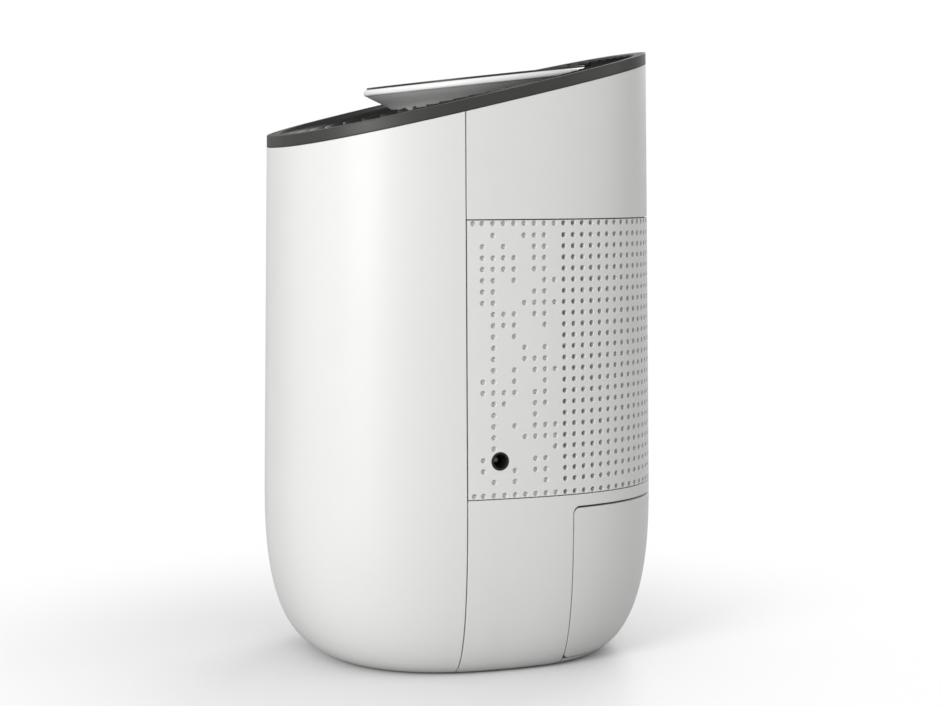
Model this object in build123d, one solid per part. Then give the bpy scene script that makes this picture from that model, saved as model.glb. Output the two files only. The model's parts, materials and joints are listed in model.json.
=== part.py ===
from build123d import *
from math import cos, degrees, pi, radians, sin
import os

# Millimetres. +Z is up, the origin is under the middle of the body on the floor.
# The low end of the sloping top is the front and faces -Y; the water tank pulls out of the back, +Y.

# Body outline: a rounded-box plan, a little narrower at the top and tucked in like a bowl at the bottom
HALF_WIDTH = 77.43
HALF_DEPTH = 90.94
PLAN_POWER = 2.456
BOWL_HEIGHT = 77.0
BOWL_POWER = 2.555
BOWL_IN_X = 20.9
BOWL_IN_Y = 35.0
LEAN = 0.01365
OUTLINE_POINTS = 40
OVER_TOP = 292.0
WALL = 2.2
PANEL_WALL = 2.0

# Splits between the outside pieces
SEAM_Y = -22.94
SEAM_GAP = 0.6
PANEL_LOW = 82.0
PANEL_HIGH = 206.5
PANEL_GAP = 0.5
TANK_EDGE_Y = 28.5
TANK_TOP = 76.5
TANK_TOP_GAP = 1.0
TANK_SIDE_GAP = 0.5
TANK_CORNER = 3.0

# Sloping top
RING_SLOPE = 0.233
RING_FOOT = 259.55
RING_HEIGHT = 5.2
RING_WALL = 5.3
RING_SEAT = 0.15
COLLAR_DEPTH = 6.5
LOUVRE_INSET = 5.5
LOUVRE_RIM = 1.5
LOUVRE_RISE = 0.4
LOUVRE_DEPTH = 10.0
VANES = 46
VANE_SWEEP = 34.0
VANE_THICKNESS = 1.2
VANE_LEAN = 5.0
HUB_RADIUS = 40.0
HUB_WALL = 1.5
HUB_FLANGE = 30.0
FLANGE_THICKNESS = 2.0
NECK_DEPTH = 24.0
POD_GAP = 0.5

# Control pod: a dish on its own, flatter slope
POD_Y = 9.73
POD_SLOPE = 0.112
POD_TOP = 270.81
POD_RADIUS = 53.7
RIM_HEIGHT = 3.0
RIM_WALL = 1.6
FACE_RADIUS = 52.0
FACE_SEAT = 2.0
FACE_CROWN = 1.2
FACE_EDGE = 0.9
FACE_LEDGE = 48.8
BUTTON_AT = -24.0
BUTTON_RADIUS = 7.0
BUTTON_GAP = 0.2
BUTTON_TOP = 1.1
BUTTON_TRAVEL_GAP = 0.6
BUTTON_FLANGE = 8.4
LIGHT_AT = 14.0
LIGHT_RADIUS = 1.2
BOARD_SEAT = 16.4
POD_INNER = 34.6
POD_BOARD_RADIUS = 34.2
POD_SCREWS_AT = 32.4

# Base and feet
BASE_LOW = 1.2
BASE_HIGH = 3.4
BASE_HALF_X = 58.0
BASE_HALF_Y = 61.2
BASE_GAP = 0.2
FOOT_RADIUS = 7.0
FOOT_PLACES = [(36, 42), (-36, 42), (36, -42), (-36, -42)]

# Chassis
DECK_LOW = 77.6
DECK_HIGH = 80.0
BAY_WALL = (-26.0, -23.6)
BAY_HALF_X = 52.0
INNER_INSET = 4.9
POST_RADIUS = 4.0
FAN_Y = 5.0
FAN_PITCH = 82.5
FAN_SIZE = 92.0
FAN_THICKNESS = 25.0
FAN_PLATE = (205.4, 207.8)
FAN_BORE = 44.5
BLADES = 9
TIP_RADIUS = 43.0
ROTOR_HUB = 19.0
SHAFT_RADIUS = 1.5
RUNNING_GAP = 0.05

# Cooling stack
STACK_Z = 143.0
MODULE = 40.0
MODULE_Y = (0.0, 3.8)
HOT_BASE = (-6.0, 0.0)
HOT_HALF_X = 34.0
HOT_HALF_Z = 45.0
HOT_FIN_Y = -44.0
COLD_BASE = (3.8, 8.8)
COLD_HALF_X = 30.0
COLD_HALF_Z = 36.0
COLD_FIN_Y = 38.0
FIN = 1.4
STACK_SCREW = (25.0, 29.0)
DRAIN_Y = 20.0

# Tank
TANK_INSET = 3.0
TANK_WALL = 1.8
TANK_FRONT_Y = -19.0
TANK_REAR_Y = 74.0
TANK_LOW = 4.0
TANK_RIM = 73.0
LID_HIGH = 75.0
SKIN_LOW = 4.0
GRIP_HALF_X = 27.0
GRIP_Z = (44.0, 62.0)
GRIP_FLOOR_Y = 76.5
FLOAT_PIVOT = (27.0, -8.0, 58.0)
PIN_RADIUS = 1.5

# DC inlet, behind the grille on the +X side
JACK_Y = -7.75
JACK_Z = 99.0
JACK_RADIUS = 4.1
JACK_MOUTH = 3.2
JACK_MOUTH_DEPTH = 5.0
JACK_SOCKET = 2.9
JACK_DEPTH = 10.0
JACK_LENGTH = 14.0

BASE = (Align.CENTER, Align.CENTER, Align.MIN)
DOWN = (Align.CENTER, Align.CENTER, Align.MAX)


# ---------------------------------------------------------------- helpers
def block(x, y, z):
    """A box between two limits along each axis."""
    limits = (x, y, z)
    size = [high - low for low, high in limits]
    middle = [(low + high) / 2 for low, high in limits]
    return Pos(*middle) * Box(*size)


def rod(radius, start, length, along=(0, 0, 1)):
    """A round bar that starts at a point and runs along a direction."""
    return Plane(origin=start, z_dir=along) * Cylinder(radius, length, align=BASE)


def above(height, slope):
    """Everything over a plane that crosses the Z axis at height and rises along +Y by slope."""
    plane = Plane(origin=(0, 0, height), x_dir=(1, 0, 0), z_dir=(0, -slope, 1))
    return plane * Box(400, 400, 200, align=BASE)


def behind(y):
    return block((-200, 200), (y, 300), (-50, 400))


def in_front_of(y):
    return block((-200, 200), (-300, y), (-50, 400))


def layer(low, high):
    return block((-200, 200), (-300, 300), (low, high))


def half_axes(z, inset=0.0):
    """Half width and half depth of the body at a height, moved in by inset."""
    width = HALF_WIDTH - inset
    depth = HALF_DEPTH - inset
    if z >= BOWL_HEIGHT:
        lean = LEAN * (z - BOWL_HEIGHT)
        return width - lean, depth - lean
    drop = min((BOWL_HEIGHT - z) / (BOWL_HEIGHT - inset), 1)
    tuck = 1 - (1 - drop**BOWL_POWER) ** (1 / BOWL_POWER)
    return width - BOWL_IN_X * tuck, depth - BOWL_IN_Y * tuck


def outline(z, half_x, half_y):
    """A closed rounded-box curve at a height."""
    points = []
    for step in range(OUTLINE_POINTS):
        turn = 2 * pi * step / OUTLINE_POINTS
        across = abs(cos(turn) / half_x) ** PLAN_POWER
        along = abs(sin(turn) / half_y) ** PLAN_POWER
        reach = (across + along) ** (-1 / PLAN_POWER)
        points.append(Vector(reach * cos(turn), reach * sin(turn), z))
    return Wire([Edge.make_spline(points, periodic=True)])


bodies = {}


def body(inset=0.0):
    """The whole body as a solid, moved in by inset: a bowl below, a tapered part above."""
    if inset not in bodies:
        drop = BOWL_HEIGHT - inset
        heights = [BOWL_HEIGHT - drop * sin(radians(turn)) for turn in range(90, -1, -6)]
        rings = [outline(z, *half_axes(z, inset)) for z in heights]
        bowl = Solid.make_loft(rings)
        cap = outline(OVER_TOP, *half_axes(OVER_TOP, inset))
        taper = Solid.make_loft([rings[-1], cap], ruled=True)
        bodies[inset] = bowl + taper
    return bodies[inset]


def skin(outer, inner):
    return body(outer) - body(inner)


def plan_prism(half_x, half_y, low, high):
    face = Face(outline(low, half_x, half_y))
    return Solid.extrude(face, Vector(0, 0, high - low))


# ---------------------------------------------------------------- outside pieces
def base_opening():
    return plan_prism(BASE_HALF_X, BASE_HALF_Y, -1, BASE_HIGH + 1)


def board_bosses():
    """Four pegs on the front wall that carry the main board, each with a screw hole."""
    pegs = []
    for x in (-28, 28):
        for z in (104, 186):
            pegs.append(rod(3.5, (x, -85, z), 13, (0, 1, 0)) - rod(1.25, (x, -81, z), 9.5, (0, 1, 0)))
    return pegs


def base_bosses():
    """Two screw posts in the foot of the front shell, each tied to the wall by a rib."""
    posts = []
    for x in (-22, 22):
        rib = block((x - 1, x + 1), (-80, -54), (BASE_HIGH + 0.2, 26)) & body(1.2)
        post = rod(4, (x, -54, BASE_HIGH + 0.2), 20)
        posts.append(post + rib - rod(1.25, (x, -54, BASE_HIGH), 14))
    return posts


def front_shell():
    shell = skin(0, WALL) & in_front_of(SEAM_Y - SEAM_GAP / 2)
    shell = shell - layer(-20, BASE_LOW) - base_opening()
    shell = shell - above(RING_FOOT - RING_SEAT, RING_SLOPE)
    for boss in board_bosses() + base_bosses():
        shell = shell + boss
    return shell


def tank_window(edge_gap, top_gap, corner):
    """The tank's outline seen from the side, with rounded front corners, run through the whole width."""
    front = TANK_EDGE_Y + edge_gap
    top = TANK_TOP - top_gap
    low = SKIN_LOW if top_gap else -20
    long = 200
    shape = Pos((top + low) / 2, 0) * Rectangle(top - low, long)
    shape = Pos(0, long / 2) * shape
    shape = fillet(shape.vertices().group_by(Axis.Y)[0], corner)
    plane = Plane(origin=(0, front, 0), x_dir=(0, 0, 1), z_dir=(1, 0, 0))
    return extrude(plane * mirror(shape, Plane.XZ), 200, both=True)


def rear_skirt():
    shell = skin(0, WALL) & behind(SEAM_Y + SEAM_GAP / 2)
    shell = (shell & layer(BASE_LOW, PANEL_LOW - PANEL_GAP / 2)) - base_opening()
    return shell - tank_window(0, 0, TANK_CORNER + TANK_SIDE_GAP)


def rear_top_band():
    shell = skin(0, WALL) & behind(SEAM_Y + SEAM_GAP / 2)
    shell = shell - layer(-20, PANEL_HIGH + PANEL_GAP / 2)
    return shell - above(RING_FOOT - RING_SEAT, RING_SLOPE)


def rear_grille():
    panel = skin(0, PANEL_WALL) & behind(SEAM_Y + SEAM_GAP / 2)
    panel = panel & layer(PANEL_LOW + PANEL_GAP / 2, PANEL_HIGH - PANEL_GAP / 2)
    return panel - rod(JACK_RADIUS + 0.1, (60, JACK_Y, JACK_Z), 30, (1, 0, 0))


def rear_frame():
    """The inner frame that the grille, skirt and top band clip to: two rails and slim ribs."""
    frame = skin(WALL + 0.15, 4.5) & behind(SEAM_Y - 9) & layer(78, 211)
    for y in ((-18, 10), (14, 42), (46, 66)):
        frame = frame - block((-200, 200), y, (87, 201))
    for x in ((-45, -17), (-13, 13), (17, 45)):
        frame = frame - block(x, (66, 120), (87, 201))
    return frame


def top_ring():
    ring = skin(0, RING_WALL) & above(RING_FOOT, RING_SLOPE)
    ring = ring - above(RING_FOOT + RING_HEIGHT, RING_SLOPE)
    collar = skin(WALL + 0.15, 4.6) & above(RING_FOOT - COLLAR_DEPTH, RING_SLOPE)
    return ring + (collar - above(RING_FOOT + 0.5, RING_SLOPE))


# ---------------------------------------------------------------- air outlet
def louvre_plane():
    top = RING_FOOT + RING_HEIGHT + RING_SLOPE * POD_Y
    return Plane(origin=(0, POD_Y, top), x_dir=(1, 0, 0), z_dir=(0, -RING_SLOPE, 1))


def vane():
    """One curved, leaning vane, from the hub outwards, under the ring's top plane."""
    inner = HUB_RADIUS - 2.5
    outer = 92.0
    middle = (inner + outer) / 2
    turn = degrees(VANE_THICKNESS / middle)
    near = [Vector(inner, 0), Vector(middle, 0).rotate(Axis.Z, VANE_SWEEP * 0.4)]
    near.append(Vector(outer, 0).rotate(Axis.Z, VANE_SWEEP))
    far = [point.rotate(Axis.Z, turn) for point in near]
    edges = [Edge.make_three_point_arc(*near), Edge.make_line(near[2], far[2])]
    edges += [Edge.make_three_point_arc(*far), Edge.make_line(far[0], near[0])]
    face = Face(Wire(edges)).moved(Location((0, 0, LOUVRE_RISE)))
    return Solid.extrude(face, Vector(0, VANE_LEAN, -LOUVRE_DEPTH))


def pod_clearance():
    """The dish's outline with a small gap all round, for what has to clear it."""
    rim = POD_RADIUS + POD_GAP
    low = -RIM_HEIGHT - POD_GAP
    bore = HUB_RADIUS - HUB_WALL
    flare = Spline((rim, low), (45.8, -9.0), (40.4, -13.6), (bore, -16.4))
    sides = Polyline((bore, -16.4), (bore, -NECK_DEPTH), (0, -NECK_DEPTH))
    sides += Polyline((0, -NECK_DEPTH), (0, 20), (rim, 20), (rim, low))
    return pod_plane() * turned(flare + sides)


def outlet_louvre():
    """Swirl louvre: an outer rim, a ring of vanes, and a hub whose flange carries the control pod."""
    place = louvre_plane()
    one = vane()
    turns = [Rot(0, 0, 360 * count / VANES) for count in range(VANES)]
    vanes = Compound([place * (turn * one) for turn in turns]) & body(LOUVRE_INSET + 0.5)
    foot = RING_FOOT + RING_HEIGHT - LOUVRE_DEPTH - 1
    rim = skin(LOUVRE_INSET, LOUVRE_INSET + LOUVRE_RIM) & above(foot, RING_SLOPE)
    rim = rim - above(RING_FOOT + RING_HEIGHT - 0.6, RING_SLOPE)
    hub = Cylinder(HUB_RADIUS, NECK_DEPTH + FLANGE_THICKNESS, align=BASE)
    hub = hub - Cylinder(HUB_FLANGE, 100)
    hub = pod_plane() * Pos(0, 0, -NECK_DEPTH - FLANGE_THICKNESS) * hub
    hub = hub - above(RING_FOOT + RING_HEIGHT, RING_SLOPE)
    return rim + hub + vanes - pod_clearance()


# ---------------------------------------------------------------- control pod
def pod_plane():
    top = POD_TOP + POD_SLOPE * POD_Y
    return Plane(origin=(0, POD_Y, top), x_dir=(1, 0, 0), z_dir=(0, -POD_SLOPE, 1))


def turned(edges):
    """A solid turned from a closed profile in the XZ plane."""
    return revolve(Plane.XZ * make_face(edges), Axis.Z)


def control_pod():
    """The dish: a rounded rim, a hollow flared underside and a neck with a ledge for the board."""
    rim = POD_RADIUS
    seat = rim - RIM_WALL
    outer = Line((seat, 0), (rim - 1.5, 0)) + ThreePointArc((rim - 1.5, 0), (rim - 0.44, -0.44), (rim, -1.5))
    outer += Line((rim, -1.5), (rim, -RIM_HEIGHT + 1))
    outer += ThreePointArc((rim, -RIM_HEIGHT + 1), (rim - 0.3, -RIM_HEIGHT + 0.3), (rim - 1, -RIM_HEIGHT))
    flare = Spline((rim - 1, -RIM_HEIGHT), (45, -7.9), (39, -13), (36.6, -19), (36, -NECK_DEPTH))
    inner = Polyline((36, -NECK_DEPTH), (31, -NECK_DEPTH), (31, -BOARD_SEAT), (POD_INNER, -BOARD_SEAT))
    inner += Polyline((POD_INNER, -BOARD_SEAT), (POD_INNER, -14), (40, -10.2), (45, -6), (FACE_LEDGE, -4))
    inner += Line((FACE_LEDGE, -4), (FACE_LEDGE, -FACE_SEAT))
    inner += Polyline((FACE_LEDGE, -FACE_SEAT), (seat, -FACE_SEAT), (seat, 0))
    pod = pod_plane() * turned(outer + flare + inner)
    for hole in pod_screw_rods(1.05, 8):
        pod = pod - hole
    return pod


def face_height(radius):
    return FACE_CROWN - (FACE_CROWN - FACE_EDGE) * (radius / FACE_RADIUS) ** 2


def pod_face():
    """The crowned control face, with openings for the button and its two lights."""
    half = FACE_RADIUS / 2
    top = ThreePointArc((0, FACE_CROWN), (half, face_height(half)), (FACE_RADIUS, FACE_EDGE))
    sides = Polyline((FACE_RADIUS, FACE_EDGE), (FACE_RADIUS, -FACE_SEAT), (0, -FACE_SEAT), (0, FACE_CROWN))
    face = turned(top + sides)
    face = face - Pos(0, BUTTON_AT, 0) * Cylinder(BUTTON_RADIUS + BUTTON_GAP, 20)
    for x in (-LIGHT_AT, LIGHT_AT):
        face = face - Pos(x, BUTTON_AT, 0) * Cylinder(LIGHT_RADIUS, 20)
    return pod_plane() * face


def power_button():
    cap = Pos(0, BUTTON_AT, BUTTON_TOP) * Cylinder(BUTTON_RADIUS, BUTTON_TOP + 6, align=DOWN)
    cap = fillet(cap.edges().filter_by(GeomType.CIRCLE).sort_by(Axis.Z)[-1], 0.6)
    flange = Pos(0, BUTTON_AT, -FACE_SEAT - BUTTON_TRAVEL_GAP) * Cylinder(BUTTON_FLANGE, 1.8, align=DOWN)
    return pod_plane() * (cap + flange)


def light(x):
    pipe = Pos(x, BUTTON_AT, face_height(abs(BUTTON_AT)) - 0.05) * Cylinder(LIGHT_RADIUS, 14, align=DOWN)
    collar = Pos(x, BUTTON_AT, -FACE_SEAT) * Cylinder(LIGHT_RADIUS + 0.8, 1.5, align=DOWN)
    return pod_plane() * (pipe + collar)


def pod_screw_rods(radius, length):
    rods = []
    for count in range(3):
        spot = Rot(0, 0, 120 * count + 30) * Pos(POD_SCREWS_AT, 0, -BOARD_SEAT + 1.6)
        rods.append(pod_plane() * spot * Cylinder(radius, length + 1.6, align=DOWN))
    return rods


def pod_board():
    board = Pos(0, 0, -BOARD_SEAT) * Cylinder(POD_BOARD_RADIUS, 1.6, align=BASE)
    board = pod_plane() * board
    for hole in pod_screw_rods(1.05, 8):
        board = board - hole
    lamp = Pos(0, BUTTON_AT, -BOARD_SEAT + 1.6) * Box(3, 1.6, 0.9, align=BASE)
    lamps = [Pos(x, 0, 0) * lamp for x in (-LIGHT_AT, LIGHT_AT)]
    chip = Pos(0, 8, -BOARD_SEAT + 1.6) * Box(9, 9, 1.4, align=BASE)
    return Compound([board] + [pod_plane() * piece for piece in lamps + [chip]])


def button_switch():
    case = Pos(0, BUTTON_AT, -BOARD_SEAT + 1.6) * Box(6, 6, 3.4, align=BASE)
    plunger = Pos(0, BUTTON_AT, -BOARD_SEAT + 5.0) * Cylinder(1.7, 4.0, align=BASE)
    return pod_plane() * (case + plunger)


def pod_screws():
    screws = []
    for count in range(3):
        spot = Rot(0, 0, 120 * count + 30) * Pos(POD_SCREWS_AT, 0, -BOARD_SEAT + 1.6)
        head = Cylinder(1.9, 1.3, align=BASE) - Box(2.6, 0.5, 1.2)
        screws.append(pod_plane() * spot * (head + Cylinder(1.0, 7, align=DOWN)))
    return Compound(screws)


# ---------------------------------------------------------------- base
def base_plate():
    """The floor of the body; under the tank it runs out to the body's own edge."""
    front = plan_prism(BASE_HALF_X - BASE_GAP, BASE_HALF_Y - BASE_GAP, BASE_LOW, BASE_HIGH)
    rear = body(0) & behind(TANK_EDGE_Y + 0.8) & layer(BASE_LOW, BASE_HIGH)
    plate = front + rear
    for x, y in FOOT_PLACES:
        plate = plate - rod(FOOT_RADIUS + 0.1, (x, y, 0), BASE_LOW + 1)
    for x, y in base_screw_places():
        plate = plate - rod(1.6, (x, y, 0), 5) - rod(3.0, (x, y, 0), BASE_LOW + 1.1)
    return plate


def rubber_feet():
    feet = []
    for x, y in FOOT_PLACES:
        foot = rod(FOOT_RADIUS, (x, y, 0), BASE_LOW + 1)
        feet.append(chamfer(foot.edges().sort_by(Axis.Z)[0], 0.4))
    return Compound(feet)


def base_screw_places():
    return [(-22, -54), (22, -54), (-40, -31), (40, -31)]


def base_screws():
    screws = []
    for x, y in base_screw_places():
        head = rod(2.8, (x, y, BASE_LOW + 0.1), 1.0)
        shank = rod(1.2, (x, y, BASE_LOW + 1.1), 11)
        slots = block((x - 1.8, x + 1.8), (y - 0.3, y + 0.3), (0, BASE_LOW + 0.6))
        screws.append(head + shank - slots)
    return Compound(screws)


# ---------------------------------------------------------------- chassis
def post_places():
    half = FAN_PITCH / 2
    return [(x, FAN_Y + y) for x in (-half, half) for y in (-half, half)]


def chassis():
    """Deck over the tank, front wall of the tank bay, four fan posts and two stack posts."""
    deck = body(INNER_INSET) & layer(DECK_LOW, DECK_HIGH)
    wall = block((-BAY_HALF_X, BAY_HALF_X), BAY_WALL, (BASE_HIGH + 0.2, DECK_LOW))
    frame = deck + wall
    for x in (-40, 40):
        post = rod(4, (x, -31, BASE_HIGH + 0.2), 20)
        post = post + block((x - 1, x + 1), (-31, -25), (BASE_HIGH + 0.2, 23))
        frame = frame + post - rod(1.25, (x, -31, BASE_HIGH), 14)
    for x, y in post_places():
        frame = frame + rod(POST_RADIUS, (x, y, DECK_HIGH), FAN_PLATE[0] - DECK_HIGH)
        frame = frame - rod(1.3, (x, y, FAN_PLATE[0] - 12), 13)
    for x in ((HOT_HALF_X, HOT_HALF_X + 4), (-HOT_HALF_X - 4, -HOT_HALF_X)):
        frame = frame + block(x, HOT_BASE, (DECK_HIGH, STACK_Z + HOT_HALF_Z))
    return frame - rod(5, (0, DRAIN_Y, DECK_LOW - 1), 5)


def fan_plate():
    plate = body(INNER_INSET) & layer(*FAN_PLATE)
    plate = plate - rod(FAN_BORE, (0, FAN_Y, FAN_PLATE[0] - 1), 5)
    for x, y in post_places():
        plate = plate - rod(2.0, (x, y, FAN_PLATE[0] - 1), 5)
    return plate


def fan_frame():
    """A square 92 mm axial fan housing with a four-arm motor mount at its foot."""
    low = FAN_PLATE[1]
    square = Pos(0, FAN_Y, low) * Box(FAN_SIZE, FAN_SIZE, FAN_THICKNESS, align=BASE)
    square = fillet(square.edges().filter_by(Axis.Z), 5)
    square = square - rod(FAN_BORE, (0, FAN_Y, low - 1), 40)
    arms = Pos(0, FAN_Y, low) * (Box(92, 3, 2.5, align=BASE) + Box(3, 92, 2.5, align=BASE))
    arms = arms & rod(FAN_BORE + 0.5, (0, FAN_Y, low), 3)
    square = square + arms + rod(17.5, (0, FAN_Y, low), 2.5)
    for x, y in post_places():
        square = square - rod(2.15, (x, y, low - 1), 40)
    return square


def fan_motor():
    low = FAN_PLATE[1] + 2.5
    stator = rod(15.3, (0, FAN_Y, low), 13)
    return stator - rod(SHAFT_RADIUS + RUNNING_GAP, (0, FAN_Y, low + 1), 14)


def fan_rotor():
    """Hub cup, shaft and pitched blades."""
    low = FAN_PLATE[1] + 4.5
    high = FAN_PLATE[1] + FAN_THICKNESS - 1.5
    hub = rod(ROTOR_HUB, (0, FAN_Y, low), high - low)
    hub = fillet(hub.edges().sort_by(Axis.Z)[-1], 1.5)
    hub = hub - rod(ROTOR_HUB - 2.2, (0, FAN_Y, low - 1), high - low - 2)
    hub = hub + rod(SHAFT_RADIUS, (0, FAN_Y, low + 1.5), high - low - 3)
    blade = Pos(31, 0, 0) * Rot(42, 0, 0) * Box(28, 23, 1.6)
    ring = Cylinder(TIP_RADIUS, 15.4) - Cylinder(ROTOR_HUB - 0.8, 30)
    blade = Pos(0, FAN_Y, (low + high) / 2) * (blade & ring)
    for count in range(BLADES):
        hub = hub + blade.rotate(Axis((0, FAN_Y, 0), (0, 0, 1)), 360 * count / BLADES)
    return hub


def fan_screws():
    screws = []
    for x, y in post_places():
        top = FAN_PLATE[1] + FAN_THICKNESS
        head = rod(3.4, (x, y, top), 2) - block((x - 2, x + 2), (y - 0.4, y + 0.4), (top + 1, top + 3))
        screws.append(head + rod(1.2, (x, y, top - 36), 36))
    return Compound(screws)


# ---------------------------------------------------------------- cooling stack
def fins(half_x, count, y, half_z):
    plates = []
    for number in range(count):
        x = -half_x + FIN / 2 + (2 * half_x - FIN) * number / (count - 1)
        plates.append(block((x - FIN / 2, x + FIN / 2), y, (STACK_Z - half_z, STACK_Z + half_z)))
    return plates


def stack_screw_places():
    across, up = STACK_SCREW
    return [(x, STACK_Z + z) for x in (-across, across) for z in (-up, up)]


def hot_sink():
    sink = block((-HOT_HALF_X, HOT_HALF_X), HOT_BASE, (STACK_Z - HOT_HALF_Z, STACK_Z + HOT_HALF_Z))
    for plate in fins(HOT_HALF_X, 15, (HOT_FIN_Y, HOT_BASE[0]), HOT_HALF_Z):
        sink = sink + plate
    for x, z in stack_screw_places():
        sink = sink - rod(1.5, (x, -5, z), 6, (0, 1, 0))
    return sink


def cold_sink():
    sink = block((-COLD_HALF_X, COLD_HALF_X), COLD_BASE, (STACK_Z - COLD_HALF_Z, STACK_Z + COLD_HALF_Z))
    for plate in fins(COLD_HALF_X, 13, (COLD_BASE[1], COLD_FIN_Y), COLD_HALF_Z):
        sink = sink + plate
    for x, z in stack_screw_places():
        sink = sink - rod(3.6, (x, COLD_BASE[1], z), 40, (0, 1, 0)) - rod(1.6, (x, 3, z), 8, (0, 1, 0))
    return sink


def peltier_module():
    low, high = MODULE_Y
    half = MODULE / 2
    tile = block((-half, half), (low, high), (STACK_Z - half, STACK_Z + half))
    groove = block((-half, half), (low + 0.8, high - 0.8), (STACK_Z - half, STACK_Z + half))
    core = block((-half + 1, half - 1), (low + 0.8, high - 0.8), (STACK_Z - half + 1, STACK_Z + half - 1))
    return tile - (groove - core)


def insulation_foam():
    half = MODULE / 2 + 0.3
    frame = block((-COLD_HALF_X, COLD_HALF_X), MODULE_Y, (STACK_Z - COLD_HALF_Z, STACK_Z + COLD_HALF_Z))
    frame = frame - block((-half, half), (-1, 5), (STACK_Z - half, STACK_Z + half))
    for x, z in stack_screw_places():
        frame = frame - rod(1.6, (x, -1, z), 8, (0, 1, 0))
    return frame


def stack_screws():
    screws = []
    for x, z in stack_screw_places():
        head = rod(2.9, (x, COLD_BASE[1], z), 2.2, (0, 1, 0))
        slot = block((x - 2, x + 2), (COLD_BASE[1] + 1.2, 20), (z - 0.4, z + 0.4))
        screws.append(head - slot + rod(1.45, (x, -4.5, z), COLD_BASE[1] + 4.5, (0, 1, 0)))
    return Compound(screws)


def drip_tray():
    """A shallow open tray with a spout that drops water through the deck into the tank."""
    tray = block((-35.4, 35.4), (1.5, 41.5), (DECK_HIGH, DECK_HIGH + 13))
    tray = tray - block((-33.8, 33.8), (3.1, 39.9), (DECK_HIGH + 1.6, DECK_HIGH + 20))
    tray = tray + rod(4.5, (0, DRAIN_Y, DECK_LOW - 0.4), DECK_HIGH - DECK_LOW + 0.6)
    return tray - rod(3, (0, DRAIN_Y, DECK_LOW - 5), 20)


# ---------------------------------------------------------------- electrics
def main_board():
    board = block((-33, 33), (-72, -70.4), (98, 192))
    for x in (-28, 28):
        for z in (104, 186):
            board = board - rod(1.6, (x, -75, z), 8, (0, 1, 0))
    return board


def board_parts():
    """The tall parts on the main board: capacitors, a coil, a heat spreader, a chip and two sockets."""
    face = -70.4
    parts = [rod(5, (-18, face, 170), 12, (0, 1, 0)), rod(5, (-5, face, 170), 12, (0, 1, 0))]
    parts.append(rod(4, (9, face, 172), 9, (0, 1, 0)))
    parts.append(rod(7.5, (16, face, 150), 6, (0, 1, 0)) - rod(3.2, (16, face, 150), 6, (0, 1, 0)))
    spreader = block((-24, 2), (face, face + 2), (136, 156))
    for number in range(5):
        x = -23 + 5.5 * number
        spreader = spreader + block((x, x + 1.2), (face + 2, face + 11), (136, 156))
    parts.append(spreader)
    parts.append(block((-8, 4), (face, face + 1.8), (118, 130)))
    parts.append(block((-24, -12), (face, face + 7), (103, 111)))
    parts.append(block((12, 24), (face, face + 7), (112, 120)))
    return Compound(parts)


def board_screws():
    screws = []
    for x in (-28, 28):
        for z in (104, 186):
            head = rod(2.6, (x, -70.4, z), 1.8, (0, 1, 0))
            slot = block((x - 1.8, x + 1.8), (-69.5, -60), (z - 0.35, z + 0.35))
            screws.append(head - slot + rod(1.2, (x, -79, z), 8.6, (0, 1, 0)))
    return Compound(screws)


def jack_face_x():
    half_x, half_y = half_axes(JACK_Z)
    return half_x * (1 - abs(JACK_Y / half_y) ** PLAN_POWER) ** (1 / PLAN_POWER)


def dc_jack():
    """Round DC socket: its mouth is level with the grille, and a flange behind it sits on the grille."""
    back = jack_face_x() - JACK_LENGTH
    case = rod(JACK_RADIUS, (back, JACK_Y, JACK_Z), JACK_LENGTH, (1, 0, 0))
    case = case + rod(6.5, (jack_face_x() - PANEL_WALL - 2.4, JACK_Y, JACK_Z), 2, (1, 0, 0))
    case = case - rod(JACK_SOCKET, (jack_face_x() - JACK_DEPTH, JACK_Y, JACK_Z), 30, (1, 0, 0))
    return case - rod(JACK_MOUTH, (jack_face_x() - JACK_MOUTH_DEPTH, JACK_Y, JACK_Z), 30, (1, 0, 0))


def dc_jack_pin():
    back = jack_face_x() - JACK_DEPTH
    return rod(1.0, (back, JACK_Y, JACK_Z), JACK_DEPTH - JACK_MOUTH_DEPTH - 0.5, (1, 0, 0))


def reed_sensor():
    return block((20, 34), (BAY_WALL[1], BAY_WALL[1] + 2.6), (52, 60))


# ---------------------------------------------------------------- tank
def sliding_section(inset, y):
    """The body's cross-section at the mouth of the tank bay, run straight along Y so that it can slide."""
    heights = [inset + (BOWL_HEIGHT + 3 - inset) * (1 - cos(radians(turn))) for turn in range(0, 91, 9)]
    side = []
    for z in heights:
        half_x, half_y = half_axes(z, inset)
        side.append((half_x * (1 - (TANK_EDGE_Y / half_y) ** PLAN_POWER) ** (1 / PLAN_POWER), z))
    right = Spline(*side)
    left = mirror(right, Plane.YZ)
    top = Line(right @ 1, left @ 1)
    bottom = Line(right @ 0, left @ 0)
    plane = Plane(origin=(0, y[1], 0), x_dir=(1, 0, 0), z_dir=(0, -1, 0))
    return extrude(plane * make_face(right + left + top + bottom), y[1] - y[0])


def tank_solid(inset, y):
    return sliding_section(inset, y) & body(inset)


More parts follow.
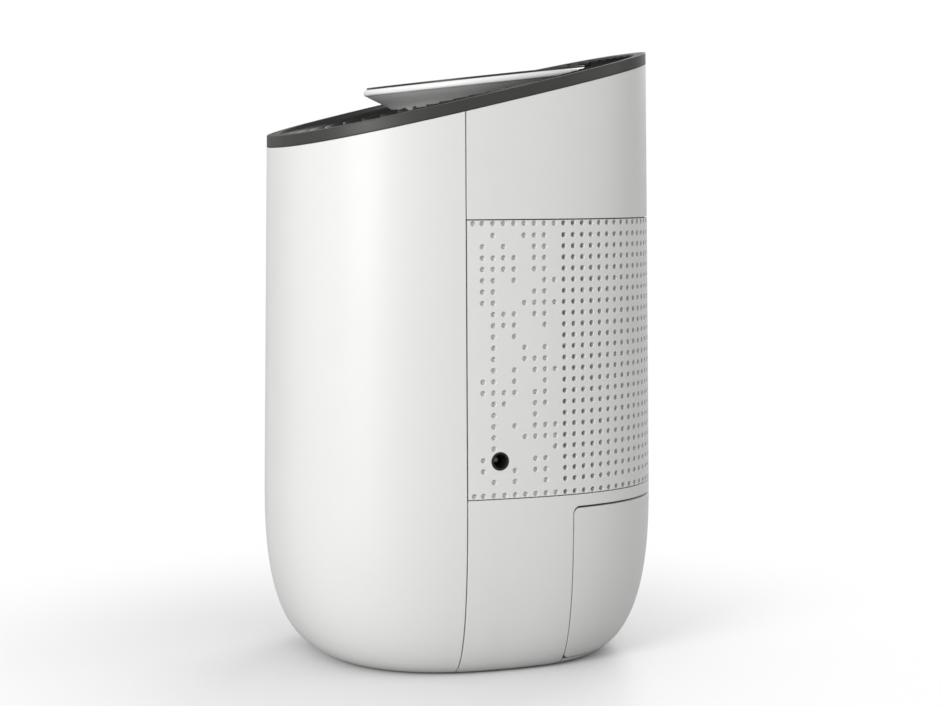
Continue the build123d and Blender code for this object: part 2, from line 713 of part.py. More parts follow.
def tank_body():
    """Open cup with a flat rear wall, two runners under it and two ears that hold the float's pin."""
    cup = tank_solid(TANK_INSET, (TANK_FRONT_Y, TANK_REAR_Y)) & layer(TANK_LOW, TANK_RIM)
    room = tank_solid(TANK_INSET + TANK_WALL, (TANK_FRONT_Y + TANK_WALL, TANK_REAR_Y - TANK_WALL))
    cup = cup - (room & layer(TANK_LOW + TANK_WALL, TANK_RIM + 5))
    for x in ((-33, -30), (30, 33)):
        cup = cup + block(x, (-10, 50), (BASE_HIGH + 0.1, TANK_LOW + 0.5))
    pivot_x, pivot_y, pivot_z = FLOAT_PIVOT
    for x in (pivot_x - 8.5, pivot_x + 6.5):
        ear = block((x, x + 2), (TANK_FRONT_Y + 1, pivot_y + 4), (pivot_z - 6, pivot_z + 6))
        cup = cup + ear
    return cup - rod(PIN_RADIUS, (pivot_x - 9, pivot_y, pivot_z), 18, (1, 0, 0))


def tank_lid():
    """Lift-off lid with a hole under the drip spout and a pouring slot at the back."""
    lid = tank_solid(TANK_INSET, (TANK_FRONT_Y, TANK_REAR_Y)) & layer(TANK_RIM, LID_HIGH)
    lid = lid - rod(8, (0, DRAIN_Y, TANK_RIM - 1), 5)
    return lid - block((-16, 16), (54, 68), (TANK_RIM - 1, LID_HIGH + 1))


def grip_pocket(wall):
    """Finger pocket in the back of the tank, seen from behind as a rounded slot."""
    half = GRIP_HALF_X + wall
    low = GRIP_Z[0] - wall
    high = GRIP_Z[1] + wall
    middle = (low + high) / 2
    slot = Pos(0, middle) * RectangleRounded(2 * half, high - low, (high - low) / 2 - 0.1)
    plane = Plane(origin=(0, 100, 0), x_dir=(-1, 0, 0), z_dir=(0, 1, 0))
    floor = GRIP_FLOOR_Y - wall
    return extrude(plane * slot, -(100 - floor))


def tank_skin():
    """The white outer face of the tank, wrapping the back of the body, with a finger pocket."""
    face = skin(0, WALL) & tank_window(TANK_SIDE_GAP, TANK_TOP_GAP, TANK_CORNER)
    pocket = (grip_pocket(1.8) & body(0.6)) - grip_pocket(0)
    return (face - grip_pocket(0)) + pocket


def tank_float():
    """A hollow-looking float block on a short lever with a bored pivot."""
    x, y, z = FLOAT_PIVOT
    lever = block((x - 5.5, x + 5.5), (y - 6, y + 22), (z - 3, z + 3))
    tip = block((x - 6, x + 6), (y + 12, y + 38), (z - 30, z - 8))
    web = block((x - 2, x + 2), (y + 14, y + 22), (z - 9, z))
    arm = lever + web + fillet(tip.edges(), 2)
    arm = arm - rod(PIN_RADIUS + RUNNING_GAP, (x - 10, y, z), 20, (1, 0, 0))
    return arm - rod(2.0, (x, y - 6, z), 2.2, (0, 1, 0))


def float_magnet():
    x, y, z = FLOAT_PIVOT
    return rod(2.0, (x, y - 6, z), 2.2, (0, 1, 0))


def float_pin():
    x, y, z = FLOAT_PIVOT
    return rod(PIN_RADIUS, (x - 8.5, y, z), 17, (1, 0, 0))


PIECES = {
    "front_shell": front_shell,
    "rear_skirt": rear_skirt,
    "rear_top_band": rear_top_band,
    "rear_grille": rear_grille,
    "rear_frame": rear_frame,
    "top_ring": top_ring,
    "outlet_louvre": outlet_louvre,
    "control_pod": control_pod,
    "pod_face": pod_face,
    "power_button": power_button,
    "power_light": lambda: light(-LIGHT_AT),
    "tank_full_light": lambda: light(LIGHT_AT),
    "pod_board": pod_board,
    "button_switch": button_switch,
    "pod_screws": pod_screws,
    "base_plate": base_plate,
    "rubber_feet": rubber_feet,
    "base_screws": base_screws,
    "chassis": chassis,
    "fan_plate": fan_plate,
    "fan_frame": fan_frame,
    "fan_motor": fan_motor,
    "fan_rotor": fan_rotor,
    "fan_screws": fan_screws,
    "hot_sink": hot_sink,
    "cold_sink": cold_sink,
    "peltier_module": peltier_module,
    "insulation_foam": insulation_foam,
    "stack_screws": stack_screws,
    "drip_tray": drip_tray,
    "main_board": main_board,
    "board_parts": board_parts,
    "board_screws": board_screws,
    "dc_jack": dc_jack,
    "dc_jack_pin": dc_jack_pin,
    "reed_sensor": reed_sensor,
    "tank_body": tank_body,
    "tank_lid": tank_lid,
    "tank_skin": tank_skin,
    "tank_float": tank_float,
    "float_magnet": float_magnet,
    "float_pin": float_pin,
}

os.makedirs("parts", exist_ok=True)
for name, make in PIECES.items():
    piece = make()
    piece.label = name
    export_step(piece, f"parts/{name}.step")
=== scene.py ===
import bmesh
import bpy
import json
import numpy as np
from math import cos, pi, radians, sin
from mathutils import Matrix, Vector


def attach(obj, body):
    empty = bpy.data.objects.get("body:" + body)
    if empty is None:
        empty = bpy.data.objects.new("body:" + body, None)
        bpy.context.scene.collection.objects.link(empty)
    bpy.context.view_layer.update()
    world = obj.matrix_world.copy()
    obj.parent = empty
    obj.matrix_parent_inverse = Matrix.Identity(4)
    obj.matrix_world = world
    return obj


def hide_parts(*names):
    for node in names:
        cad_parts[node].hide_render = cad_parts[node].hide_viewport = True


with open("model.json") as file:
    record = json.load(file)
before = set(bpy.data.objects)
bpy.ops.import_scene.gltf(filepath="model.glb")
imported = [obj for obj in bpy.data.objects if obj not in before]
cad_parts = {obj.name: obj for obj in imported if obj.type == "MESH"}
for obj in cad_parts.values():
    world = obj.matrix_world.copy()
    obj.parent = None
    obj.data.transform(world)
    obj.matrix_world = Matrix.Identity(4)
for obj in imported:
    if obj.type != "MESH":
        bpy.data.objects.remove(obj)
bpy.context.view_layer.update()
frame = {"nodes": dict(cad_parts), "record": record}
MM = 0.001

# Body outline, in millimetres, as the design gives it: rounded-box plan, bowl below, slight lean above
HALF_WIDTH = 77.43
HALF_DEPTH = 90.94
PLAN_POWER = 2.456
BOWL_HEIGHT = 77.0
LEAN = 0.01365
SEAM_Y = -22.64

# Perforated panel
PANEL_LOW = 82.25
PANEL_HIGH = 206.25
PANEL_WALL = 2.0
HOLE_RADIUS = 1.22
HOLE_EDGE = 0.14
DIMPLE_DEPTH = 1.8
HOLE_PITCH_Z = 5.0
TOP_FULL_ROW = 199.57
FIRST_COLUMN = 7.0
COLUMNS = 62
EDGE_COLUMN = 2.8
TOP_EDGE_ROW = 204.85
LOW_EDGE_ROW = 83.6
HOLE_POINTS = 12
FLOOR_EDGE = 0.1
WELD = 0.01
PATTERN_COLUMNS = 8
PATTERN = (
    ".#..###.", "#.#..##.", "####.##.", "####.##.", "##.#..##", "##...##.", "##..####", ".###.##.",
    ".###..#.", ".#.#....", ".#..#.#.", ".#..###.", ".#.#.###", "##.#..#.", "####.##.", ".##..##.",
    ".#...#..", ".#.#.###", ".#..####", ".#.....#", "#....##.", "#..#.##.", ".#.#..#.",
)
JACK_Y = -7.75
JACK_Z = 99.0
JACK_HOLE = 4.2
JACK_COLUMNS = (2, 3, 4)
JACK_ROWS = (20, 21, 22)
JACK_REACH = 16.0
WALK_STEPS = 4001
WALK_NEAR_SIDE = 1500

# Studio
FLOOR_RADIUS = 14.0
FILL_LEVEL = 0.56
FLOOR_BOUNCE = 0.35
FLOOR_WHITE = 0.9
FADE_START = 0.05
FADE_END = 0.33
LIGHT_AIM = (0, 0, 0.14)

# Sloping top
RING_TOP = 264.75
RING_SLOPE = 0.233
POD_Y = 9.73
POD_SLOPE = 0.112
POD_TOP = 270.81
POD_RADIUS = 53.7
HUB_RADIUS = 40.0
HUB_WALL = 1.5
HUB_FOOT = 26.0
HUB_FLANGE = 30.0
NECK_DEPTH = 24.0
HUB_TOP = 13.9
HUB_STEP = 16.2
POD_MARGIN = 0.6
POD_CLEARANCE = 0.3
DISH_RADII = (38.5, 40.4, 45.8, 53.2, 54.3)
DISH_DEPTHS = (-16.4, -13.6, -9.0, -4.6, -3.4)
LOUVRE_INSET = 5.6
LOUVRE_FOOT = 10.4
RIM_DROP = 0.6
RIM_WALL = 1.4
RIM_POINTS = 160
VANES = 46
VANE_SWEEP = 34.0
VANE_THICKNESS = 1.2
VANE_LEAN = 5.0
VANE_HEIGHT = 9.6
VANE_RISE = -0.15
VANE_START_BEND = 0.35
LOUVRE_CREASE = 40


# ---------------------------------------------------------------- shape helpers
def half_axes(z, inset=0.0):
    """Half width and half depth of the body above its bowl."""
    lean = LEAN * max(z - BOWL_HEIGHT, 0)
    return HALF_WIDTH - inset - lean, HALF_DEPTH - inset - lean


def walk(z):
    """Points round the back of the body at a height, from seam to seam, with the length walked to each."""
    half_x, half_y = half_axes(z)
    start = np.arcsin((-SEAM_Y / half_y) ** (PLAN_POWER / 2))
    turn = np.linspace(-start, pi + start, WALK_STEPS)
    x = half_x * np.sign(np.cos(turn)) * np.abs(np.cos(turn)) ** (2 / PLAN_POWER)
    y = half_y * np.sign(np.sin(turn)) * np.abs(np.sin(turn)) ** (2 / PLAN_POWER)
    steps = np.hypot(np.diff(x), np.diff(y))
    return np.concatenate([[0], np.cumsum(steps)]), x, y


PANEL_LENGTH = walk((PANEL_LOW + PANEL_HIGH) / 2)[0][-1]
walks = {}


def on_body(along, z, depth):
    """A point on the back of the body: along it from the seam, at a height, some way under the surface."""
    key = round(z, 4)
    if key not in walks:
        walks[key] = walk(z)
    length, xs, ys = walks[key]
    place = along / PANEL_LENGTH * length[-1]
    x = float(np.interp(place, length, xs))
    y = float(np.interp(place, length, ys))
    half_x, half_y = half_axes(z)
    out = Vector((abs(x / half_x) ** (PLAN_POWER - 1) / half_x, abs(y / half_y) ** (PLAN_POWER - 1) / half_y))
    out.normalize()
    out.x = out.x if x > 0 else -out.x
    out.y = out.y if y > 0 else -out.y
    return Vector((x - depth * out.x, y - depth * out.y, z)) * MM


def add_piece(bm, name, finish, body, nodes=(), crease=35):
    """Turns a bmesh into a piece of the object, smooth but for its sharp edges."""
    bmesh.ops.recalc_face_normals(bm, faces=bm.faces)
    for face in bm.faces:
        face.smooth = True
    for edge in bm.edges:
        if len(edge.link_faces) == 2 and edge.calc_face_angle() > radians(crease):
            edge.smooth = False
    mesh = bpy.data.meshes.new(name)
    bm.to_mesh(mesh)
    bm.free()
    piece = bpy.data.objects.new(name, mesh)
    bpy.context.scene.collection.objects.link(piece)
    mesh.materials.append(finish)
    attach(piece, body)
    if nodes:
        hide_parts(*nodes)
    return piece


# ---------------------------------------------------------------- finishes
class Nodes:
    """Short calls for building a material's node tree."""

    def __init__(self, name):
        self.material = bpy.data.materials.new(name)
        self.material.use_nodes = True
        self.tree = self.material.node_tree
        self.shader = self.tree.nodes["Principled BSDF"]
        self.place = self.add("ShaderNodeTexCoord").outputs["Object"]

    def add(self, kind, **values):
        node = self.tree.nodes.new(kind)
        for key, value in values.items():
            setattr(node, key, value)
        return node

    def link(self, source, target):
        self.tree.links.new(source, target)

    def noise(self, scale, detail=2.0, stretch=(1, 1, 1)):
        mapping = self.add("ShaderNodeMapping")
        mapping.inputs["Scale"].default_value = stretch
        self.link(self.place, mapping.inputs["Vector"])
        texture = self.add("ShaderNodeTexNoise")
        texture.inputs["Scale"].default_value = scale
        texture.inputs["Detail"].default_value = detail
        self.link(mapping.outputs["Vector"], texture.inputs["Vector"])
        return texture.outputs["Fac"]

    def between(self, source, low, high):
        spread = self.add("ShaderNodeMapRange")
        spread.inputs["From Min"].default_value = 0.3
        spread.inputs["From Max"].default_value = 0.7
        spread.inputs["To Min"].default_value = low
        spread.inputs["To Max"].default_value = high
        self.link(source, spread.inputs["Value"])
        return spread.outputs["Result"]

    def blend(self, source, first, second):
        mix = self.add("ShaderNodeMix", data_type="RGBA")
        ends = [socket for socket in mix.inputs if socket.type == "RGBA"]
        for socket, colour in zip(ends, (first, second)):
            socket.default_value = (*colour, 1)
        self.link(source, mix.inputs["Factor"])
        return [socket for socket in mix.outputs if socket.type == "RGBA"][0]

    def bump(self, source, depth, edge=0.0):
        bump = self.add("ShaderNodeBump")
        bump.inputs["Distance"].default_value = depth
        bump.inputs["Strength"].default_value = 1.0
        self.link(source, bump.inputs["Height"])
        if edge:
            soft = self.add("ShaderNodeBevel", samples=4)
            soft.inputs["Radius"].default_value = edge
            self.link(soft.outputs["Normal"], bump.inputs["Normal"])
        self.link(bump.outputs["Normal"], self.shader.inputs["Normal"])


def tint(colour, share):
    return tuple(min(channel * share, 1) for channel in colour)


def moulded(name, colour, rough, grain=1400, depth=0.00002, edge=0.0004, spread=0.03, **sockets):
    """Moulded plastic: faint cloudiness, uneven gloss, a fine grain and softened edges."""
    nodes = Nodes(name)
    cloud = nodes.between(nodes.noise(18, 3), 0, 1)
    shades = nodes.blend(cloud, tint(colour, 1 - spread), tint(colour, 1 + spread))
    nodes.link(shades, nodes.shader.inputs["Base Color"])
    gloss = nodes.between(nodes.noise(60, 4), rough - 0.04, rough + 0.04)
    nodes.link(gloss, nodes.shader.inputs["Roughness"])
    nodes.bump(nodes.noise(grain, 2), depth, edge)
    for socket, value in sockets.items():
        nodes.shader.inputs[socket.replace("_", " ")].default_value = value
    return nodes.material


def metal(name, colour, rough, stretch=(1, 1, 30), edge=0.0003):
    """Bare metal with drawn or brushed streaks."""
    nodes = Nodes(name)
    streak = nodes.noise(160, 3, stretch)
    shades = nodes.blend(nodes.between(streak, 0, 1), tint(colour, 0.86), tint(colour, 1.08))
    nodes.link(shades, nodes.shader.inputs["Base Color"])
    nodes.link(nodes.between(streak, rough - 0.08, rough + 0.1), nodes.shader.inputs["Roughness"])
    nodes.shader.inputs["Metallic"].default_value = 1.0
    nodes.bump(streak, 0.00003, edge)
    return nodes.material


WHITE = (0.80, 0.80, 0.79)
CHARCOAL = (0.040, 0.040, 0.036)
FOAM = (0.035, 0.035, 0.04)
FINISHES = {
    "shell_white": moulded("shell_white", WHITE, 0.42, spread=0.008),
    "grille_white": moulded("grille_white", WHITE, 0.45, spread=0.008, edge=0),
    "ring_charcoal": moulded("ring_charcoal", CHARCOAL, 0.5, depth=0.00003, spread=0.08, edge=0.0008),
    "louvre_black": moulded("louvre_black", (0.022, 0.022, 0.021), 0.42, spread=0.1, edge=0),
    # pod_white is lighter than the shell's white: painted light that brightens the pod's rim and skirt
    "pod_white": moulded("pod_white", (0.93, 0.93, 0.92), 0.36, spread=0.008),
    "face_black": moulded("face_black", (0.03, 0.03, 0.031), 0.34, depth=0.000006, spread=0.06),
    "button_black": moulded("button_black", (0.04, 0.04, 0.042), 0.34, spread=0.06),
    "lens_clear": moulded("lens_clear", (0.72, 0.80, 0.84), 0.2, depth=0.000004, Transmission_Weight=0.5),
    # screen_grey is painted shade: the grey floor of the blind holes, in place of the dark inside of through
    # holes, not a dust screen
    "screen_grey": moulded("screen_grey", (0.30, 0.30, 0.30), 0.7, spread=0.1, edge=0),
    "frame_grey": moulded("frame_grey", (0.10, 0.10, 0.10), 0.55, spread=0.08),
    "fan_black": moulded("fan_black", (0.02, 0.02, 0.02), 0.42, spread=0.1),
    "rubber_grey": moulded("rubber_grey", (0.06, 0.06, 0.06), 0.8, grain=700, depth=0.00006, spread=0.12),
    "screw_steel": metal("screw_steel", (0.55, 0.55, 0.56), 0.34),
    "aluminium": metal("aluminium", (0.74, 0.75, 0.76), 0.36),
    "ceramic_white": moulded("ceramic_white", (0.78, 0.78, 0.75), 0.5, grain=900, depth=0.00003),
    "foam_black": moulded("foam_black", FOAM, 0.9, grain=500, depth=0.0002, spread=0.2, edge=0),
    "board_green": moulded("board_green", (0.02, 0.11, 0.05), 0.32, grain=300, depth=0.00002, spread=0.15),
    "parts_dark": moulded("parts_dark", (0.04, 0.04, 0.046), 0.4, spread=0.1),
    "jack_black": moulded("jack_black", (0.012, 0.012, 0.012), 0.4, spread=0.1),
    "pin_metal": metal("pin_metal", (0.30, 0.30, 0.28), 0.42),
    "tank_smoke": moulded("tank_smoke", (0.52, 0.57, 0.60), 0.22, depth=0.00001, Transmission_Weight=0.75),
    "lid_white": moulded("lid_white", (0.72, 0.73, 0.73), 0.5),
    "float_white": moulded("float_white", (0.74, 0.74, 0.72), 0.75, grain=800, depth=0.00012, spread=0.06),
}


def dress_frame():
    """Gives every CAD node the finish of its material slot."""
    slots = {row["node"]: row["material_slot"] for row in frame["record"]["subparts"]}
    for node, thing in frame["nodes"].items():
        finish = FINISHES[slots[node]]
        thing.data.materials.clear()
        thing.data.materials.append(finish)


# ---------------------------------------------------------------- perforated panel
def loop(bm, radius, depth, square=False):
    """Twelve points in a ring, or round a unit square, some way under the surface."""
    turn = Matrix.Translation((0, 0, depth)) @ Matrix.Rotation(pi / HOLE_POINTS, 4, "Z")
    points = bmesh.ops.create_circle(bm, segments=HOLE_POINTS, radius=radius, matrix=turn)["verts"]
    if square:
        for point in points:
            reach = 0.5 / max(abs(point.co.x), abs(point.co.y))
            point.co.x *= reach
            point.co.y *= reach
    return list({edge for point in points for edge in point.link_edges})


def bridge(bm, *loops):
    for first, second in zip(loops, loops[1:]):
        bmesh.ops.bridge_loops(bm, edges=first + second)


def cap(bm, edges):
    return bmesh.ops.contextual_create(bm, geom=edges)["faces"][0]


def tile(kind, framed=True):
    """One cell of the panel: plain, dimpled, or a blind hole whose grey floor is painted shade in place of
    the dark inside of a through hole; its outside is a unit square.
    """
    bm = bmesh.new()
    front = loop(bm, 1, 0, square=True) if framed else None
    back = loop(bm, 1, PANEL_WALL, square=True) if framed else None
    if kind == "plain":
        cap(bm, front)
        cap(bm, back)
    else:
        rings = [loop(bm, HOLE_RADIUS + HOLE_EDGE, 0), loop(bm, HOLE_RADIUS, HOLE_EDGE)]
        if framed:
            bridge(bm, front, rings[0])
        rings.append(loop(bm, HOLE_RADIUS, DIMPLE_DEPTH - FLOOR_EDGE))
        rings.append(loop(bm, HOLE_RADIUS - FLOOR_EDGE, DIMPLE_DEPTH))
        bridge(bm, *rings)
        floor = cap(bm, rings[-1])
        # hole floors take the second slot, screen_grey: painted shade in place of the dark inside of a
        # through hole
        floor.material_index = 1 if kind == "hole" else 0
        if framed:
            cap(bm, back)
    mesh = bpy.data.meshes.new("tile")
    bm.to_mesh(mesh)
    bm.free()
    return mesh


def place_tile(panel, mesh, along, high, centre):
    """Adds a cell to the panel: its square fills the given stretches, its hole sits round the centre."""
    bm = bmesh.new()
    bm.from_mesh(mesh)
    for point in bm.verts:
        x, y, depth = point.co
        if max(abs(x), abs(y)) > 0.49 and max(abs(x), abs(y)) < 0.51:
            s = along[0] + (x + 0.5) * (along[1] - along[0])
            z = high[0] + (y + 0.5) * (high[1] - high[0])
        else:
            s = centre[0] + x
            z = centre[1] + y
        point.co = on_body(s, z, depth)
    patch = bpy.data.meshes.new("patch")
    bm.to_mesh(patch)
    bm.free()
    panel.from_mesh(patch)
    bpy.data.meshes.remove(patch)


def panel_columns():
    """Each column's stretch along the panel and the place of its holes."""
    pitch = (PANEL_LENGTH - 2 * FIRST_COLUMN) / (COLUMNS - 1)
    middles = [FIRST_COLUMN + pitch * count for count in range(COLUMNS)]
    columns = [((0, FIRST_COLUMN - pitch / 2), EDGE_COLUMN)]
    columns += [((middle - pitch / 2, middle + pitch / 2), middle) for middle in middles]
    last = PANEL_LENGTH - FIRST_COLUMN + pitch / 2
    return columns + [((last, PANEL_LENGTH), PANEL_LENGTH - EDGE_COLUMN)]


def panel_rows():
    """Each row's stretch up the panel and the height of its holes, from the top down."""
    half = HOLE_PITCH_Z / 2
    heights = [TOP_FULL_ROW - HOLE_PITCH_Z * count for count in range(len(PATTERN))]
    rows = [((TOP_FULL_ROW + half, PANEL_HIGH), TOP_EDGE_ROW)]
    rows += [((height - half, height + half), height) for height in heights]
    return rows + [((PANEL_LOW, heights[-1] - half), LOW_EDGE_ROW)]


def cell_kind(column, row):
    """What sits in a cell; columns count from the nearer seam, 0 being the edge column."""
    nearer = min(column, COLUMNS + 1 - column)
    edge_row = row in (0, len(PATTERN) + 1)
    if nearer > PATTERN_COLUMNS:
        return "hole"
    if edge_row:
        return "dimple"
    if nearer == 0 or PATTERN[row - 1][nearer - 1] == ".":
        return "plain"
    return "dimple"


def fill_round_jack(panel):
    """Closes the panel round the DC inlet, front and back, leaving the inlet's own hole."""
    length, _, ys = walk(JACK_Z)
    walked = float(np.interp(JACK_Y, ys[:WALK_NEAR_SIDE], length[:WALK_NEAR_SIDE]))
    along = walked / length[-1] * PANEL_LENGTH
    rings = []
    for depth in (0, PANEL_WALL):
        points = bmesh.ops.create_circle(panel, segments=48, radius=JACK_HOLE)["verts"]
        for point in points:
            point.co = on_body(along + point.co.x, JACK_Z + point.co.y, depth)
        rings.append(list({edge for point in points for edge in point.link_edges}))
    middle = on_body(along, JACK_Z, PANEL_WALL / 2)
    near = [edge for edge in panel.edges if len(edge.link_faces) == 1]
    near = [edge for edge in near if (edge.verts[0].co - middle).length < JACK_REACH * MM]
    for ring, front in zip(rings, (True, False)):
        side = [edge for edge in near if (edge.verts[0].co.x > middle.x) == front]
        bmesh.ops.triangle_fill(panel, use_beauty=True, edges=side + ring)
    bmesh.ops.bridge_loops(panel, edges=rings[0] + rings[1])


def rear_grille():
    kinds = {kind: tile(kind) for kind in ("plain", "dimple", "hole")}
    loose = tile("dimple", framed=False)
    panel = bmesh.new()
    for column, (along, middle) in enumerate(panel_columns()):
        for row, (high, height) in enumerate(panel_rows()):
            kind = cell_kind(column, row)
            if column in JACK_COLUMNS and row in JACK_ROWS:
                if kind == "dimple":
                    place_tile(panel, loose, along, high, (middle, height))
            else:
                place_tile(panel, kinds[kind], along, high, (middle, height))
    bmesh.ops.remove_doubles(panel, verts=panel.verts, dist=WELD * MM)
    fill_round_jack(panel)
    rim = [edge for edge in panel.edges if len(edge.link_faces) == 1]
    bmesh.ops.bridge_loops(panel, edges=rim)
    piece = add_piece(
        panel, "perforated_panel", FINISHES["grille_white"], "housing", ["rear_grille"]
    )
    # second slot: screen_grey, the painted shade on the hole floors
    piece.data.materials.append(FINISHES["screen_grey"])


# ---------------------------------------------------------------- air outlet and control pod
def sloping(height, slope):
    """The frame of a top that slopes up to the back: its origin is over the pod's middle."""
    up = Vector((0, -slope, 1)).normalized()
    across = Vector((1, 0, 0))
    turn = Matrix((across, up.cross(across), up)).transposed().to_4x4()
    return Matrix.Translation((0, POD_Y * MM, (height + slope * POD_Y) * MM)) @ turn


LOUVRE_PLACE = sloping(RING_TOP, RING_SLOPE)
POD_PLACE = sloping(POD_TOP, POD_SLOPE)


def reach(turn, inset, place=LOUVRE_PLACE):
    """How far the body's outline, moved in by inset, lies from the louvre's middle in a direction."""
    low, high = 30.0, 110.0
    for _ in range(24):
        middle = (low + high) / 2
        point = place @ (Vector((cos(turn), sin(turn), 0)) * middle * MM)
        half_x, half_y = half_axes(point.z / MM, inset)
        inside = abs(point.x / MM / half_x) ** PLAN_POWER + abs(point.y / MM / half_y) ** PLAN_POWER < 1
        low, high = (middle, high) if inside else (low, middle)
    return low


def pod_floor(point):
    """How deep the dish reaches over a point, so that what lies under it can stay clear."""
    local = POD_PLACE.inverted() @ point / MM
    radius = (local.x ** 2 + local.y ** 2) ** 0.5
    if radius > POD_RADIUS + POD_MARGIN:
        return None
    return local.z - (float(np.interp(radius, DISH_RADII, DISH_DEPTHS)) - POD_CLEARANCE)


def vane(start):
    """One curved, leaning vane from the hub out to the rim."""
    bm = bmesh.new()
    bmesh.ops.create_grid(bm, x_segments=18, y_segments=2, size=0.5)
    sweep = radians(VANE_SWEEP)
    far = reach(start + sweep, LOUVRE_INSET + RIM_WALL / 2)
    for point in bm.verts:
        share = point.co.x + 0.5
        low = 0.5 - point.co.y
        radius = HUB_RADIUS - 1 + (far - HUB_RADIUS + 1) * share
        bend = VANE_START_BEND * share + (1 - VANE_START_BEND) * share ** 2
        turn = start + sweep * bend + low * VANE_LEAN / radius
        radius = min(radius, reach(turn, LOUVRE_INSET + RIM_WALL / 2))
        spot = Vector((radius * cos(turn), radius * sin(turn), VANE_RISE - low * VANE_HEIGHT))
        spot = LOUVRE_PLACE @ (spot * MM)
        over = pod_floor(spot)
        if over is not None and over > 0:
            spot.z -= over * MM
        point.co = spot
    bmesh.ops.solidify(bm, geom=bm.faces, thickness=VANE_THICKNESS * MM)
    return bm


def rim_ring(bm, inset, height):
    """A closed ring of points on the body's outline, moved in, at a height over the louvre's plane."""
    points = bmesh.ops.create_circle(bm, segments=RIM_POINTS, radius=1)["verts"]
    place = LOUVRE_PLACE @ Matrix.Translation((0, 0, height * MM))
    for point in points:
        turn = float(np.arctan2(point.co.y, point.co.x))
        distance = reach(turn, inset, place) * MM
        point.co = place @ Vector((distance * cos(turn), distance * sin(turn), 0))
    return list({edge for point in points for edge in point.link_edges})


def turned(bm, profile, place, steps=144):
    """A ring turned from a closed profile of (radius, height) points in millimetres."""
    points = [bm.verts.new((radius * MM, 0, height * MM)) for radius, height in profile]
    edges = [bm.edges.new(pair) for pair in zip(points, points[1:] + points[:1])]
    bmesh.ops.spin(
        bm, geom=points + edges, axis=(0, 0, 1), cent=(0, 0, 0), steps=steps, angle=2 * pi, use_merge=True
    )
    for point in bm.verts:
        point.co = place @ point.co


def swirl_louvre():
    louvre = bmesh.new()
    hub = bmesh.new()
    bore = HUB_RADIUS - HUB_WALL
    profile = [(HUB_RADIUS, -HUB_FOOT), (HUB_RADIUS, -HUB_TOP), (bore, -HUB_STEP)]
    profile += [(bore, -NECK_DEPTH), (HUB_FLANGE, -NECK_DEPTH), (HUB_FLANGE, -HUB_FOOT)]
    turned(hub, profile, POD_PLACE)
    parts = [hub] + [vane(2 * pi * count / VANES) for count in range(VANES)]
    for part in parts:
        bmesh.ops.recalc_face_normals(part, faces=part.faces)
        patch = bpy.data.meshes.new("patch")
        part.to_mesh(patch)
        part.free()
        louvre.from_mesh(patch)
        bpy.data.meshes.remove(patch)
    rings = [
        rim_ring(louvre, LOUVRE_INSET, -RIM_DROP), rim_ring(louvre, LOUVRE_INSET + RIM_WALL, -RIM_DROP),
        rim_ring(louvre, LOUVRE_INSET + RIM_WALL, -LOUVRE_FOOT), rim_ring(louvre, LOUVRE_INSET, -LOUVRE_FOOT),
    ]
    for first, second in zip(rings, rings[1:] + rings[:1]):
        bmesh.ops.bridge_loops(louvre, edges=first + second)
    finish = FINISHES["louvre_black"]
    add_piece(louvre, "swirl_louvre", finish, "housing", ["outlet_louvre"], LOUVRE_CREASE)


# ---------------------------------------------------------------- studio
def studio():
    """Pale floor that fades into a white backdrop, soft light from the front left and two weaker fills."""
    bm = bmesh.new()
    bmesh.ops.create_circle(bm, cap_ends=True, segments=64, radius=FLOOR_RADIUS)
    mesh = bpy.data.meshes.new("floor")
    bm.to_mesh(mesh)
    bm.free()
    floor = bpy.data.objects.new("floor", mesh)
    bpy.context.scene.collection.objects.link(floor)
    mesh.materials.append(floor_finish())
    world = bpy.data.worlds.new("studio_white")
    bpy.context.scene.world = world
    world.use_nodes = True
    tree = world.node_tree
    shade = tree.nodes["Background"]
    shade.inputs["Color"].default_value = (1, 1, 1, 1)
    rays = tree.nodes.new("ShaderNodeLightPath")
    level = tree.nodes.new("ShaderNodeMapRange")
    level.inputs["To Min"].default_value = FILL_LEVEL
    level.inputs["To Max"].default_value = 1.0
    tree.links.new(rays.outputs["Is Camera Ray"], level.inputs["Value"])
    tree.links.new(level.outputs["Result"], shade.inputs["Strength"])
    add_light("key", (0.97, -1.42, 0.62), 0.7, 20)
    add_light("rear_fill", (0.9, 1.7, 0.7), 1.2, 6)
    add_light("back", (-1.3, 1.2, 0.9), 1.0, 12)
    bpy.context.scene.view_settings.view_transform = "Standard"


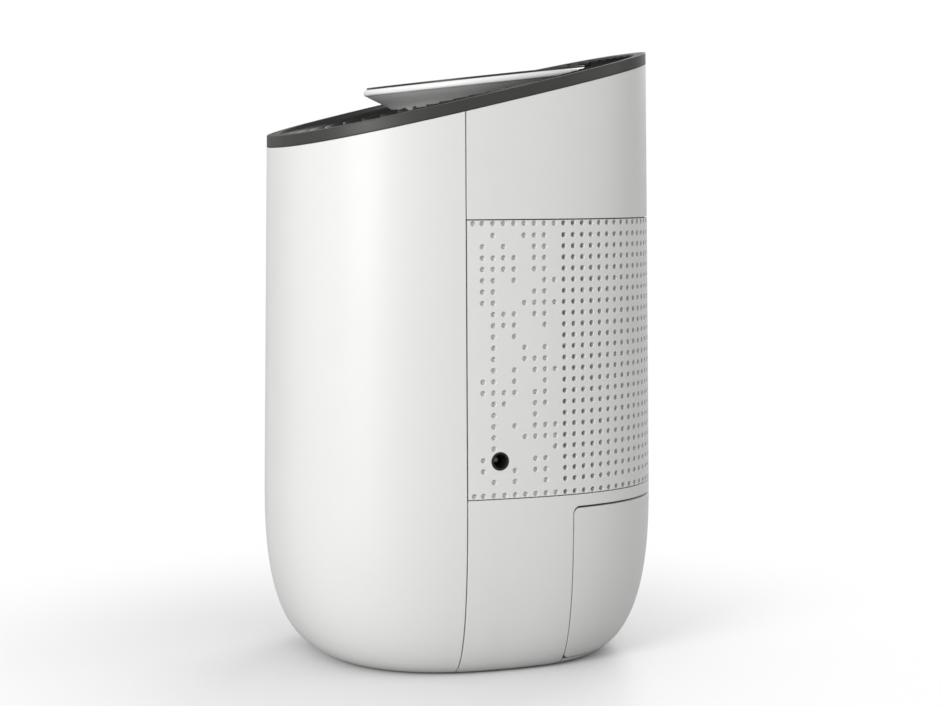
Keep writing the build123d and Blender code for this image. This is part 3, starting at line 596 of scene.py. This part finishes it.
def floor_finish():
    """White card that glows into the backdrop away from the object, and throws little light back up."""
    nodes = Nodes("floor_white")
    rays = nodes.add("ShaderNodeLightPath")
    card = nodes.add("ShaderNodeMapRange")
    card.inputs["To Min"].default_value = FLOOR_BOUNCE
    card.inputs["To Max"].default_value = FLOOR_WHITE
    nodes.link(rays.outputs["Is Camera Ray"], card.inputs["Value"])
    nodes.link(card.outputs["Result"], nodes.shader.inputs["Base Color"])
    nodes.shader.inputs["Roughness"].default_value = 0.55
    glow = nodes.add("ShaderNodeEmission")
    distance = nodes.add("ShaderNodeVectorMath", operation="LENGTH")
    nodes.link(nodes.place, distance.inputs[0])
    fade = nodes.add("ShaderNodeMapRange", interpolation_type="SMOOTHERSTEP")
    fade.inputs["From Min"].default_value = FADE_START
    fade.inputs["From Max"].default_value = FADE_END
    nodes.link(distance.outputs["Value"], fade.inputs["Value"])
    seen = nodes.add("ShaderNodeMath", operation="MULTIPLY")
    nodes.link(fade.outputs["Result"], seen.inputs[0])
    nodes.link(rays.outputs["Is Camera Ray"], seen.inputs[1])
    mix = nodes.add("ShaderNodeMixShader")
    nodes.link(seen.outputs["Value"], mix.inputs["Fac"])
    nodes.link(nodes.shader.outputs["BSDF"], mix.inputs[1])
    nodes.link(glow.outputs["Emission"], mix.inputs[2])
    nodes.link(mix.outputs["Shader"], nodes.tree.nodes["Material Output"].inputs["Surface"])
    return nodes.material


def add_light(name, place, size, power):
    data = bpy.data.lights.new(name, "AREA")
    data.shape = "SQUARE"
    data.size = size
    data.energy = power
    lamp = bpy.data.objects.new(name, data)
    lamp.location = place
    aim = Vector(LIGHT_AIM) - Vector(place)
    lamp.rotation_euler = aim.to_track_quat("-Z", "Y").to_euler()
    bpy.context.scene.collection.objects.link(lamp)


def add_camera():
    """Long lens at mid height, from the side and a little towards the front."""
    back = Vector((0.9322, -0.3522, 0.0835)).normalized()
    right = Vector((0.3534, 0.9355, 0.0)).normalized()
    up = back.cross(right)
    data = bpy.data.cameras.new("camera")
    data.lens = 80.93
    data.sensor_width = 36
    camera = bpy.data.objects.new("camera", data)
    turn = Matrix((right, up, back)).transposed().to_4x4()
    camera.matrix_world = Matrix.Translation((0.9466, -0.3507, 0.2258)) @ turn
    bpy.context.scene.collection.objects.link(camera)
    bpy.context.scene.camera = camera


add_camera()
studio()
dress_frame()
rear_grille()
swirl_louvre()
